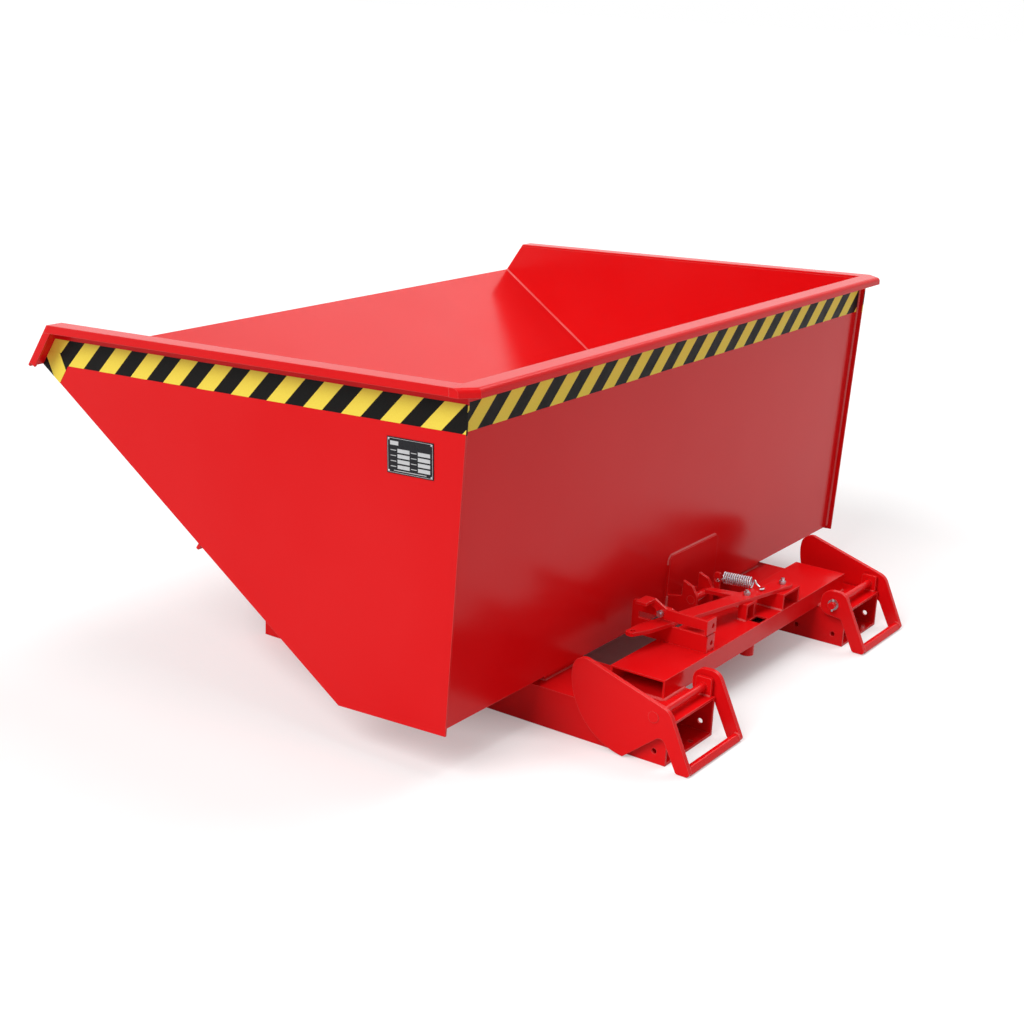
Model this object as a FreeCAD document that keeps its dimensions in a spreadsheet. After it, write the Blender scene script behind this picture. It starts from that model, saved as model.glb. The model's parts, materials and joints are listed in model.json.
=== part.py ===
"""Forklift tipping skip: a sheet-steel tub on two fork tubes, with latch, safety catch and slip-off locks.

Frame: +Z up from the floor, +X to the left of someone facing the rear wall, -Y towards the tub's lip.
The tub is drawn in its own frame, from the lower edge of its rear wall, and stands tilted on the base.
"""
import FreeCAD
import Part
import Sketcher
import math
import os
import re

# Driving dimensions, in millimetres and degrees
SIZES = {
    # tub: sheet-metal shell
    "tub_width": 1600.0,
    "tub_depth": 630.0,
    "sheet": 4.0,
    "floor_length": 217.0,
    "slope_angle": 36.0,
    "lip_drop": 71.0,
    "rear_lean": 4.7,
    "panel_edge": 12.7,
    "panel_drop": 5.3,
    "panel_rear": 13.0,
    "weld_gap": 0.3,
    "tub_pitch": 2.65,
    "heel_y": 338.6,
    "heel_z": 97.8,
    # tub: folded rim
    "rim_width": 34.0,
    "rim_height": 16.0,
    "rim_sheet": 5.0,
    "rear_rim_width": 42.0,
    "rear_rim_height": 17.0,
    "rear_rim_round": 9.0,
    "rim_corner": 27.0,
    "flange_short": 8.0,
    # tub: stiffeners and plates
    "lip_bar_width": 40.0,
    "lip_bar_thick": 8.0,
    "rib_width": 40.0,
    "rib_thick": 6.0,
    "rib_run": 355.5,
    "rib_inner": 440.0,
    "rib_short": 12.0,
    "doubler_left": 20.0,
    "doubler_right": 190.0,
    "doubler_height": 130.0,
    "doubler_thick": 6.0,
    "doubler_chamfer": 8.0,
    "name_plate_width": 100.0,
    "name_plate_height": 64.0,
    "name_plate_thick": 1.5,
    "name_plate_back": 59.0,
    "name_plate_drop": 93.0,
    # tub: catch for the latch
    "catch_x": -20.0,
    "catch_gap": 60.0,
    "catch_thick": 8.0,
    "catch_reach": 76.0,
    "catch_top": 78.0,
    "catch_neck": 40.0,
    "catch_neck_level": 52.0,
    "catch_spur": 8.0,
    "catch_pin_reach": 62.0,
    "catch_pin_level": 49.0,
    "catch_pin_diameter": 18.0,
    # base: fork tubes and cross tubes
    "fork_centre": 388.0,
    "fork_width": 180.0,
    "fork_height": 80.0,
    "fork_wall": 5.0,
    "fork_length": 990.0,
    "mouth_y": 617.6,
    "cross_depth": 120.0,
    "cross_height": 40.0,
    "cross_wall": 4.0,
    "cross_inset": 66.0,
    "cross_left": 380.0,
    "cross_right": 430.0,
    "front_cross_depth": 80.0,
    "front_cross_height": 40.0,
    "front_cross_inset": 130.0,
    "side_hole": 11.0,
    "side_hole_level": 24.0,
    "side_hole_inset": 25.0,
    "side_hole_spacing": 87.0,
    "drain_inset": 13.0,
    "drain_offset": 29.0,
    # base: tub hinges and rests
    "hinge_inset": 71.0,
    "hinge_pin": 25.0,
    "hinge_play": 0.05,
    "bracket_width": 44.0,
    "bracket_wall": 10.0,
    "bracket_depth": 90.0,
    "bracket_over": 26.0,
    "bracket_round": 22.0,
    "ear_rise": 40.0,
    "ear_width": 64.0,
    "ear_reach": 24.0,
    "ear_round": 16.0,
    "washer_rim": 8.0,
    "washer_thick": 4.0,
    "cotter": 5.0,
    "cotter_over": 6.0,
    "pin_end": 5.0,
    "rest_width": 120.0,
    "rest_thick": 10.0,
    "rest_inset": 12.0,
    "rest_gap": 0.3,
    # slip-off locks
    "lock_axis_inset": 23.0,
    "lock_axis_level": 98.0,
    "lock_pin": 16.0,
    "lock_head": 22.0,
    "lock_head_over": 1.5,
    "lock_washer_rim": 4.0,
    "lock_gap": 5.0,
    "lock_thick": 10.0,
    "lock_floor": 0.5,
    "lock_tip": 60.0,
    "lock_fan_radius": 138.0,
    "lock_fan_front": 120.0,
    "lock_fan_low": 40.0,
    "lock_fan_step": 4.0,
    "lock_fan_top": 82.0,
    "lock_fan_round": 26.0,
    "lock_shoulder": 32.0,
    "lock_shoulder_top": 18.0,
    "lock_shoulder_round": 30.0,
    "lock_foot": 86.0,
    "lock_foot_width": 32.0,
    "lock_notch": 20.0,
    "lock_notch_level": 32.0,
    "lock_notch_round": 12.0,
    "lock_eye": 30.0,
    "lock_eye_round": 26.0,
    "lock_leg_step": 6.0,
    "lock_heel_round": 20.0,
    "lock_bar_inset": 2.0,
    "lock_bar_height": 16.0,
    "lock_bar_thick": 13.0,
    "lock_bar_round": 4.0,
    "lock_toe_round": 7.0,
    "lug_thick": 8.0,
    "lug_width": 34.0,
    "lug_over": 18.0,
    "lug_round": 5.0,
    # latch lever and what carries it
    "lever_level": 156.0,
    "lever_thick": 8.0,
    "lever_width": 36.0,
    "lever_angle": -12.5,
    "lever_pivot_x": -156.0,
    "lever_pivot_inset": 25.0,
    "lever_reach": 462.0,
    "lever_end": 14.0,
    "lever_taper": 34.0,
    "lever_tip_width": 18.0,
    "lever_tail": 20.0,
    "lever_round": 14.0,
    "tip_round": 6.0,
    "lever_hole": 11.0,
    "lever_bolt": 8.0,
    "lever_bolt_end": 6.0,
    "arm_root": 118.0,
    "arm_width": 28.0,
    "arm_tip": 146.0,
    "arm_tip_width": 20.0,
    "arm_reach": 76.0,
    "arm_round": 4.0,
    "stop_bolt_along": 117.0,
    "stop_bolt": 8.0,
    "stop_bolt_end": 3.5,
    "slide_gap": 0.3,
    "pivot_bracket_left": 41.0,
    "pivot_bracket_right": 36.0,
    "pivot_bracket_depth": 60.0,
    "stand_wall": 5.0,
    "post_x": -25.0,
    "post_width": 38.0,
    "post_depth": 20.0,
    "post_inset": 30.0,
    "post_foot": 30.0,
    "post_foot_x": -16.5,
    "post_foot_inset": 27.0,
    "post_foot_drop": 34.0,
    "window_x": -35.0,
    "window_width": 38.0,
    "window_depth": 24.0,
    # guide and safety catch
    "guide_from_tip": 95.0,
    "guide_thick": 6.0,
    "guide_front": 181.0,
    "guide_column": 16.0,
    "guide_back": 7.0,
    "guide_throat": 14.0,
    "guide_top": 72.0,
    "guide_arm": 93.0,
    "guide_round": 6.0,
    "flange_width": 24.0,
    "flange_hole": 11.0,
    "catch_axis_inset": 111.0,
    "catch_axis_level": 180.0,
    "catch_front": 11.0,
    "catch_round": 10.0,
    "catch_plate_length": 105.0,
    "catch_plate_top": 9.0,
    "catch_flange_low": 21.0,
    "catch_bolt": 8.0,
    "thumb_rise": 26.0,
    "thumb_reach": 40.0,
    "thumb_drop": 4.0,
    "thumb_width": 34.0,
    "thumb_length": 24.0,
    # return spring
    "spring_wire": 3.4,
    "spring_mean": 22.6,
    "spring_step": 4.8,
    "spring_end": 14.0,
    "spring_reach": 25.0,
    "spring_hook": 7.0,
    "spring_drop": 8.0,
    "spring_level": 176.0,
    "spring_along": 70.0,
    "spring_stud": 6.0,
    "spring_stud_over": 2.5,
    "spring_lug_x": -73.0,
    "spring_lug_thick": 5.0,
    "spring_lug_over": 24.0,
    "spring_lug_width": 14.0,
    "spring_lug_foot": 40.0,
    "spring_lug_top": 9.0,
    "spring_lug_round": 4.0,
    "spring_eye": 9.0,
}

# Places worked out from the driving dimensions
DERIVED = {
    "half": "(tub_width / 2)",
    "inner_half": "(tub_width / 2 - sheet)",
    "rim_half": "(tub_width / 2 + rim_width)",
    "panel_offset": "(sheet + panel_edge)",
    "slope_run": "((tub_depth - lip_drop - sheet) / tan(slope_angle))",
    "lip_y": "(-floor_length - slope_run)",
    "lip_z": "(tub_depth - lip_drop)",
    "front_low_y": "(lip_y - panel_offset * sin(slope_angle))",
    "front_low_z": "(lip_z - panel_offset * cos(slope_angle))",
    "rim_low": "(tub_depth - rim_height)",
    "rim_plate": "(tub_depth - rim_sheet)",
    "name_plate_top": "(tub_depth - rim_height - name_plate_drop)",
    "flange_top_y": "(front_low_y + (rim_low - front_low_z) * tan(slope_angle))",
    "wall_top_y": "(tub_depth * tan(rear_lean))",
    "rim_inner_y": "(wall_top_y - sheet)",
    "rim_outer_y": "(wall_top_y + rear_rim_width)",
    "fork_front": "(mouth_y - fork_length)",
    "fork_inner": "(fork_centre - fork_width / 2)",
    "fork_outer": "(fork_centre + fork_width / 2)",
    "cross_rear": "(mouth_y - cross_inset)",
    "cross_front": "(mouth_y - cross_inset - cross_depth)",
    "cross_top": "(fork_height + cross_height)",
    "hinge_y": "(mouth_y - fork_length + hinge_inset)",
    "lock_y": "(mouth_y - lock_axis_inset)",
    "lock_low": "(lock_floor - lock_axis_level)",
    "lever_top": "(lever_level + lever_thick)",
    "pivot_y": "(cross_rear - lever_pivot_inset)",
    "stand_top": "(lever_level - slide_gap)",
    "catch_axis_y": "(cross_rear - catch_axis_inset)",
    "guide_x": "(lever_pivot_x + lever_reach * cos(lever_angle) - guide_from_tip)",
    "catch_plate_x": "(guide_x + guide_thick + slide_gap)",
    "throat_low": "(lever_level - 2 * slide_gap)",
    "lock_slant": "((lock_foot - lock_shoulder) / (lock_shoulder_top - lock_low))",
    "lock_bar_top": "(lock_foot - lock_bar_inset - lock_bar_height * lock_slant)",
    "spring_eye_y": "(cross_front - spring_lug_over + spring_lug_width / 2)",
    "slope_tilt": "(slope_angle - tub_pitch)",
    "slope_foot": "(-floor_length * sin(slope_angle) + sheet * cos(slope_angle) - sheet)",
    "hinge_level": "(heel_z + (slope_foot - ear_rise - (hinge_y - heel_y) * sin(slope_tilt))"
                   " / cos(slope_tilt))",
}

WORD = re.compile(r"[a-z][a-z_]*")
SIDES = {"left": 1, "right": -1}

doc = FreeCAD.newDocument("tipping_skip")
sheet = doc.addObject("Spreadsheet::Sheet", "Sizes")
for row, (alias, value) in enumerate(SIZES.items(), start=1):
    sheet.set(f"A{row}", alias)
    sheet.set(f"B{row}", str(value))
    sheet.setAlias(f"B{row}", alias)
doc.recompute()
nodes = []


def ex(text):
    """Expression text with derived places written out and sizes pointed at the sheet."""
    def swap(match):
        word = match.group(0)
        if word in DERIVED:
            return ex(DERIVED[word])
        return f"Sizes.{word}" if word in SIZES else word
    return WORD.sub(swap, str(text))


def num(text):
    """The present value of an expression."""
    return float(sheet.evalExpression(ex(text)))


def bind(obj, **expressions):
    """Binds properties; double underscores stand for dots."""
    for name, text in expressions.items():
        obj.setExpression(name.replace("__", "."), ex(text))


def seat(obj, x="0", y="0", z="0", turn="0", axis=(1, 0, 0)):
    """Places an object by expressions: an offset and a turn about one axis."""
    obj.Placement = FreeCAD.Placement(FreeCAD.Vector(), FreeCAD.Rotation(FreeCAD.Vector(*axis), 1))
    bind(obj, Placement__Base__x=x, Placement__Base__y=y, Placement__Base__z=z)
    obj.setExpression("Placement.Rotation.Angle", ex(turn))


def on_tub(obj):
    """Seats an object that is drawn in the tub's frame."""
    seat(obj, y="heel_y", z="heel_z", turn="tub_pitch")
    return obj


def on_wall(obj):
    """Seats an object that is drawn square to the rear wall's outer face."""
    seat(obj, y="heel_y", z="heel_z", turn="tub_pitch - rear_lean")
    return obj


def node(obj, label):
    """Names a finished sub-part."""
    obj.Label = label
    nodes.append(obj)
    return obj


def box(x, y, z):
    """A block between pairs of expressions."""
    block = doc.addObject("Part::Box", "block")
    bind(block, Length=f"{x[1]} - ({x[0]})", Width=f"{y[1]} - ({y[0]})", Height=f"{z[1]} - ({z[0]})")
    seat(block, x[0], y[0], z[0])
    return block


def rod(axis, centre, diameter, low, high):
    """A round bar along X, Y or Z; centre gives its other two coordinates in order."""
    bar = doc.addObject("Part::Cylinder", "bar")
    bind(bar, Radius=f"({diameter}) / 2", Height=f"{high} - ({low})")
    if axis == "x":
        seat(bar, low, centre[0], centre[1], "90", (0, 1, 0))
    elif axis == "y":
        seat(bar, centre[0], low, centre[1], "-90", (1, 0, 0))
    else:
        seat(bar, centre[0], centre[1], low)
    return bar


def hexagon(axis, centre, across, low, high):
    """A hexagon head or nut along X or Z."""
    prism = doc.addObject("Part::Prism", "hexagon")
    prism.Polygon = 6
    bind(prism, Circumradius=f"({across}) / 2 / cos(30)", Height=f"{high} - ({low})")
    if axis == "x":
        seat(prism, low, centre[0], centre[1], "90", (0, 1, 0))
    else:
        seat(prism, centre[0], centre[1], low)
    return prism


def fuse(*shapes):
    """One solid from several that overlap or meet."""
    joined = doc.addObject("Part::MultiFuse", "joined")
    joined.Shapes = list(shapes)
    joined.Refine = True
    return joined


def group(*shapes):
    """Separate solids kept together as one sub-part."""
    together = doc.addObject("Part::Compound", "together")
    together.Links = list(shapes)
    return together


def cut(solid, *tools):
    """A solid with tools taken away."""
    result = doc.addObject("Part::Cut", "cut")
    result.Base = solid
    result.Tool = tools[0] if len(tools) == 1 else fuse(*tools)
    return result


def arc_between(start, end, radius, centre_left):
    """The short arc between two points, with its centre left or right of the way from start to end."""
    way = end - start
    half_chord = way.Length / 2
    side = FreeCAD.Vector(-way.y, way.x, 0) * (1 if centre_left else -1)
    centre = (start + end) * 0.5 + side.normalize() * math.sqrt(radius ** 2 - half_chord ** 2)
    first, last = (start, end) if centre_left else (end, start)
    angles = [math.atan2(p.y - centre.y, p.x - centre.x) for p in (first, last)]
    circle = Part.Circle(centre, FreeCAD.Vector(0, 0, 1), radius)
    return Part.ArcOfCircle(circle, angles[0], angles[1])


def draw(sketch, outline, holes):
    """Draws a closed outline with bound corners; a third entry (radius, centre_left) bends the next side."""
    points = [FreeCAD.Vector(num(corner[0]), num(corner[1]), 0) for corner in outline]
    sides = []
    for i, corner in enumerate(outline):
        start, end = points[i], points[(i + 1) % len(points)]
        if len(corner) == 2:
            sides.append((sketch.addGeometry(Part.LineSegment(start, end)), 1, 2))
        else:
            radius, centre_left = corner[2]
            index = sketch.addGeometry(arc_between(start, end, num(radius), centre_left))
            sides.append((index, 1, 2) if centre_left else (index, 2, 1))
            sketch.addConstraint(Sketcher.Constraint("Radius", index, num(radius)))
            sketch.setExpression(f"Constraints[{sketch.ConstraintCount - 1}]", ex(radius))
    for i, (index, first, last) in enumerate(sides):
        following = sides[(i + 1) % len(sides)]
        sketch.addConstraint(Sketcher.Constraint("Coincident", index, last, following[0], following[1]))
        fix(sketch, index, first, outline[i][0], outline[i][1])
    for across, up, diameter in holes:
        centre = FreeCAD.Vector(num(across), num(up), 0)
        circle = Part.Circle(centre, FreeCAD.Vector(0, 0, 1), num(diameter) / 2)
        index = sketch.addGeometry(circle)
        fix(sketch, index, 3, across, up)
        sketch.addConstraint(Sketcher.Constraint("Diameter", index, num(diameter)))
        sketch.setExpression(f"Constraints[{sketch.ConstraintCount - 1}]", ex(diameter))
    return points


def fix(sketch, index, position, across, up):
    """Holds a point of a sketch at a place given by two expressions."""
    for kind, text in (("DistanceX", across), ("DistanceY", up)):
        sketch.addConstraint(Sketcher.Constraint(kind, -1, 1, index, position, num(text)))
        sketch.setExpression(f"Constraints[{sketch.ConstraintCount - 1}]", ex(text))


def plate(plane, outline, low, high, holes=(), rounds=()):
    """A plate padded square to the XY or YZ plane, between two levels; rounds lists (corner, radius)."""
    body = doc.addObject("PartDesign::Body", "plate")
    sketch = body.newObject("Sketcher::SketchObject", "outline")
    origin_plane = [f for f in body.Origin.OriginFeatures if f.Role == f"{plane}_Plane"][0]
    sketch.AttachmentSupport = [(origin_plane, "")]
    sketch.MapMode = "FlatFace"
    bind(sketch, AttachmentOffset__Base__z=low)
    points = draw(sketch, outline, holes)
    pad = body.newObject("PartDesign::Pad", "pad")
    pad.Profile = sketch
    bind(pad, Length=f"{high} - ({low})")
    doc.recompute()
    for corner, radius in rounds:
        edges = [f"Edge{i}" for i, edge in enumerate(body.Shape.Edges, start=1)
                 if all(near_corner(plane, v.Point, points[corner]) for v in edge.Vertexes)]
        dress(body, "PartDesign::Fillet", edges, Radius=radius)
    return body


def dress(body, kind, edges, **sizes):
    """Adds a fillet or chamfer to a body's edges."""
    base = body.Tip
    feature = body.newObject(kind, "dressing")
    feature.Base = (base, edges)
    bind(feature, **sizes)
    body.Tip = feature
    doc.recompute()


def near_corner(plane, point, corner):
    """Whether a point of a plate lies on one corner of its outline."""
    across, up = (point.y, point.z) if plane == "YZ" else (point.x, point.y)
    return abs(across - corner.x) < 1e-4 and abs(up - corner.y) < 1e-4


def span(side, low, high):
    """A pair of X expressions mirrored to the left or right side."""
    return (low, high) if SIDES[side] > 0 else (f"-({high})", f"-({low})")


def mirrored(side, text):
    """An X expression on the left or right side."""
    return text if SIDES[side] > 0 else f"-({text})"


# Tub shell


def tub_shell():
    """The bent floor sheet, the leaning rear wall and the two side panels."""
    under = "(-floor_length + sheet / tan(slope_angle) - sheet / sin(slope_angle))"
    floor = plate("YZ", [
        ("-sheet - weld_gap", "0"), ("-sheet - weld_gap", "sheet"), ("-floor_length", "sheet"),
        ("lip_y", "lip_z"), ("lip_y - sheet * sin(slope_angle)", "lip_z - sheet * cos(slope_angle)"),
        (under, "0")], "-(inner_half)", "inner_half")
    node(on_tub(floor), "floor_sheet")
    wall = plate("YZ", [
        ("0", "0"), ("0", "(rim_plate - weld_gap) / cos(rear_lean) - sheet * tan(rear_lean)"),
        ("-sheet", "(rim_plate - weld_gap) / cos(rear_lean) - sheet * tan(rear_lean)"), ("-sheet", "0")],
        "-(inner_half)", "inner_half")
    node(on_wall(wall), "rear_wall")
    slant = "(-floor_length + (sheet + panel_drop) / tan(slope_angle) - panel_offset / sin(slope_angle))"
    outline = [
        ("panel_rear - panel_drop * tan(rear_lean)", "-panel_drop"),
        ("panel_rear + rim_plate * tan(rear_lean)", "rim_plate"),
        ("front_low_y + (rim_plate - front_low_z) * tan(slope_angle)", "rim_plate"),
        ("front_low_y", "front_low_z"), (slant, "-panel_drop")]
    for side in SIDES:
        panel = plate("YZ", outline, *span(side, "inner_half", "half"))
        node(on_tub(panel), f"side_panel_{side}")


def tub_rim():
    """Folded rims along the sides and the rear, and the turned-out flanges at the front edges."""
    for side in SIDES:
        outer = plate("YZ", [
            ("flange_top_y", "rim_low"), ("rim_inner_y", "rim_low"), ("rim_inner_y", "tub_depth"),
            ("flange_top_y + rim_height * tan(slope_angle)", "tub_depth")],
            *span(side, "inner_half", "rim_half"))
        inner = box(span(side, "inner_half - rim_sheet", "rim_half - rim_sheet"),
                    ("flange_top_y - rim_sheet", "rim_inner_y + rim_sheet"),
                    ("rim_low - rim_sheet", "rim_plate"))
        node(on_tub(cut(outer, inner)), f"side_rim_{side}")
        node(on_tub(front_flange(side)), f"front_flange_{side}")
    node(on_tub(rear_rim()), "rear_rim")


def front_flange(side):
    """An angle along the slanting front edge of a side panel, which also shuts the end of the rim."""
    along = ("cos(slope_angle)", "sin(slope_angle)")
    start = ("front_low_y", "front_low_z")
    higher = (f"front_low_y + flange_short * {along[1]}", f"front_low_z + flange_short * {along[0]}")
    step = "(rim_plate - rim_low) * tan(slope_angle)"

    def strip(low, depth, *faces):
        return plate("YZ", [
            low, ("flange_top_y", "rim_low"), (f"flange_top_y + ({depth}) / {along[0]}", "rim_low"),
            (f"{low[0]} + ({depth}) * {along[0]}", f"{low[1]} - ({depth}) * {along[1]}")],
            *span(side, *faces))
    shut = plate("YZ", [
        ("flange_top_y", "rim_low"), (f"flange_top_y + rim_sheet / {along[0]}", "rim_low"),
        (f"flange_top_y + rim_sheet / {along[0]} + {step}", "rim_plate"),
        (f"flange_top_y + {step}", "rim_plate")],
        *span(side, "half", "rim_half - rim_sheet"))
    return fuse(strip(start, "rim_sheet", "half", "rim_half"),
                strip(higher, "rim_height", "rim_half - rim_sheet", "rim_half"), shut)


def rear_rim():
    """The rear rim, with cut corners and a rounded outer edge, hollow below."""
    def outline(inset):
        return [
            (f"rim_half - {inset}", "rim_inner_y"),
            (f"rim_half - {inset}", f"rim_outer_y - rim_corner - {inset} * tan(22.5)"),
            (f"rim_half - rim_corner - {inset} * tan(22.5)", f"rim_outer_y - {inset}"),
            (f"-rim_half + rim_corner + {inset} * tan(22.5)", f"rim_outer_y - {inset}"),
            (f"-rim_half + {inset}", f"rim_outer_y - rim_corner - {inset} * tan(22.5)"),
            (f"-rim_half + {inset}", "rim_inner_y")]
    shell = plate("XY", outline("0"), "tub_depth - rear_rim_height", "tub_depth")
    edges = [f"Edge{i}" for i, edge in enumerate(shell.Shape.Edges, start=1)
             if all(abs(v.Z - num("tub_depth")) < 1e-4 for v in edge.Vertexes)
             and edge.CenterOfMass.y > num("rim_outer_y - rim_corner") + 1]
    dress(shell, "PartDesign::Fillet", edges, Radius="rear_rim_round")
    hollow = plate("XY", outline("rim_sheet"), "tub_depth - rear_rim_height - rim_sheet", "rim_plate")
    return cut(shell, hollow)


def tub_fittings():
    """Stiffeners under the slope, the doubler and catch on the rear wall, and the blank name plate."""
    rise = ("sin(slope_angle)", "cos(slope_angle)")

    def under_slope(along, depth):
        """A point a way down the slope from the lip and a depth below the sheet's underside."""
        return (f"lip_y + ({along}) * {rise[1]} - (sheet + ({depth})) * {rise[0]}",
                f"lip_z - ({along}) * {rise[0]} - (sheet + ({depth})) * {rise[1]}")
    bar = plate("YZ", [under_slope("0", "0"), under_slope("lip_bar_width", "0"),
                       under_slope("lip_bar_width", "lip_bar_thick"), under_slope("0", "lip_bar_thick")],
                "-(inner_half)", "inner_half")
    node(on_tub(bar), "lip_bar")
    start = "(slope_run - rib_run) / cos(slope_angle)"
    rib = [under_slope(start, "0"), under_slope(f"{start} + rib_width", "0"),
           under_slope(f"{start} + rib_width", "rib_thick"), under_slope(f"{start} + rib_thick", "rib_thick"),
           under_slope(f"{start} + rib_thick", "rib_width"), under_slope(start, "rib_width")]
    for side in SIDES:
        angle = plate("YZ", rib, *span(side, "rib_inner", "inner_half - rib_short"))
        node(on_tub(angle), f"slope_rib_{side}")
    doubler = plate("YZ", [("0", "weld_gap"), ("doubler_thick", "weld_gap"),
                           ("doubler_thick", "doubler_height"), ("0", "doubler_height")],
                    "-doubler_right", "doubler_left")
    corners = [f"Edge{i}" for i, edge in enumerate(doubler.Shape.Edges, start=1)
               if all(abs(v.Z - num("doubler_height")) < 1e-4 for v in edge.Vertexes)
               and edge.Length < num("doubler_thick") + 1e-4]
    dress(doubler, "PartDesign::Chamfer", corners, Size="doubler_chamfer")
    node(on_wall(doubler), "catch_doubler")
    cheek = [("doubler_thick", "doubler_chamfer"), ("catch_reach - doubler_height / 4", "doubler_chamfer"),
             ("catch_reach", "catch_pin_level - catch_pin_diameter"),
             ("catch_reach", "catch_pin_level + catch_pin_diameter / 2"),
             ("catch_pin_reach", "catch_top"), ("catch_neck", "catch_top + catch_spur"),
             ("catch_neck", "catch_neck_level"), ("doubler_thick", "catch_neck_level - catch_spur")]
    hole = [("catch_pin_reach", "catch_pin_level", "catch_pin_diameter")]
    faces = {"left": ("catch_x + catch_gap / 2", "catch_x + catch_gap / 2 + catch_thick"),
             "right": ("catch_x - catch_gap / 2 - catch_thick", "catch_x - catch_gap / 2")}
    for side, levels in faces.items():
        node(on_wall(plate("YZ", cheek, *levels, holes=hole)), f"catch_cheek_{side}")
    pin = rod("x", ("catch_pin_reach", "catch_pin_level"), "catch_pin_diameter",
              faces["right"][0], faces["left"][1])
    node(on_wall(group(pin)), "catch_pin")
    name_plate = plate("YZ", [
        ("-name_plate_back - name_plate_width / 2", "name_plate_top - name_plate_height"),
        ("-name_plate_back + name_plate_width / 2", "name_plate_top - name_plate_height"),
        ("-name_plate_back + name_plate_width / 2", "name_plate_top"),
        ("-name_plate_back - name_plate_width / 2", "name_plate_top")],
        "half", "half + name_plate_thick")
    node(on_tub(name_plate), "name_plate")


# Base frame


def tube(x, y, z, wall, along, *drills):
    """A rectangular tube between pairs of expressions, open at both ends along X or Y, with drilled holes."""
    def inside(name, pair):
        signs = "-+" if name == along else "+-"
        return (f"{pair[0]} {signs[0]} {wall}", f"{pair[1]} {signs[1]} {wall}")
    return cut(box(x, y, z), box(inside("x", x), inside("y", y), inside("z", z)), *drills)


def base_frame():
    """Two fork tubes with side and drain holes, tied by a front and a rear cross tube."""
    for side in SIDES:
        holes = [rod("x", (f"mouth_y - side_hole_inset - {step} * side_hole_spacing", "side_hole_level"),
                     "side_hole", *span(side, "fork_inner - fork_wall", "fork_outer + fork_wall"))
                 for step in (0, 1)]
        drain = (mirrored(side, "fork_centre - drain_offset"), "mouth_y - drain_inset")
        holes.append(rod("z", drain, "side_hole", "-fork_wall", "2 * fork_wall"))
        fork = tube(span(side, "fork_inner", "fork_outer"), ("fork_front", "mouth_y"), ("0", "fork_height"),
                    "fork_wall", "y", *holes)
        node(fork, f"fork_tube_{side}")
    window = box(("window_x - window_width / 2", "window_x + window_width / 2"),
                 ("cross_rear - cross_wall - window_depth", "cross_rear - cross_wall"),
                 ("cross_top - 2 * cross_wall", "cross_top + cross_wall"))
    rear = tube(("-cross_right", "cross_left"), ("cross_front", "cross_rear"), ("fork_height", "cross_top"),
                "cross_wall", "x", window)
    node(rear, "rear_cross_tube")
    front_y = "fork_front + front_cross_inset"
    front = tube(("-fork_inner", "fork_inner"), (front_y, f"{front_y} + front_cross_depth"),
                 ("fork_height - front_cross_height", "fork_height"), "cross_wall", "x")
    node(front, "front_cross_tube")


def tub_rests():
    """Bars on the fork tubes that the tub's floor comes down on."""
    top = "heel_z - (rest_inset + rest_thick) * tan(tub_pitch) - rest_gap"
    for side in SIDES:
        bar = box(span(side, "fork_centre - rest_width / 2", "fork_centre + rest_width / 2"),
                  ("heel_y - rest_inset - rest_thick", "heel_y - rest_inset"), ("fork_height", top))
        node(bar, f"tub_rest_{side}")


def tub_hinges():
    """A forked bracket on each fork tube, an ear under the tub's slope, and the hinge pin between them."""
    bore = [("hinge_y", "hinge_level", "hinge_pin")]
    cheek = [("hinge_y - bracket_depth / 2", "fork_height"), ("hinge_y + bracket_depth / 2", "fork_height"),
             ("hinge_y + bracket_over", "hinge_level + bracket_over"),
             ("hinge_y - bracket_over", "hinge_level + bracket_over")]
    rounds = [(2, "bracket_round"), (3, "bracket_round")]
    outer = "(fork_centre + bracket_width / 2)"
    inner = "(fork_centre - bracket_width / 2)"
    for side in SIDES:
        cheeks = [plate("YZ", cheek, *span(side, *faces), bore, rounds)
                  for faces in ((f"{outer} - bracket_wall", outer), (inner, f"{inner} + bracket_wall"))]
        web = box(span(side, f"{inner} + bracket_wall", f"{outer} - bracket_wall"),
                  ("hinge_y - bracket_depth / 2", "hinge_y + bracket_depth / 2"),
                  ("fork_height", "fork_height + bracket_wall"))
        node(fuse(*cheeks, web), f"hinge_bracket_{side}")
        centre = ("hinge_y", "hinge_level")
        pin, keepers = pinned(side, centre, "hinge_pin", "washer_rim", inner, outer)
        node(pin, f"hinge_pin_{side}")
        node(keepers, f"hinge_keepers_{side}")
        ear = plate("YZ", [("-ear_width / 2", "ear_rise"), ("ear_width / 2", "ear_rise"),
                           ("ear_reach", "-ear_reach"), ("-ear_reach", "-ear_reach")],
                    *span(side, f"{inner} + bracket_wall + slide_gap", f"{outer} - bracket_wall - slide_gap"),
                    [("0", "0", "hinge_pin + 2 * hinge_play")], [(2, "ear_round"), (3, "ear_round")])
        seat(ear, y="hinge_y", z="hinge_level", turn="-slope_tilt")
        node(ear, f"hinge_ear_{side}")


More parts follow.
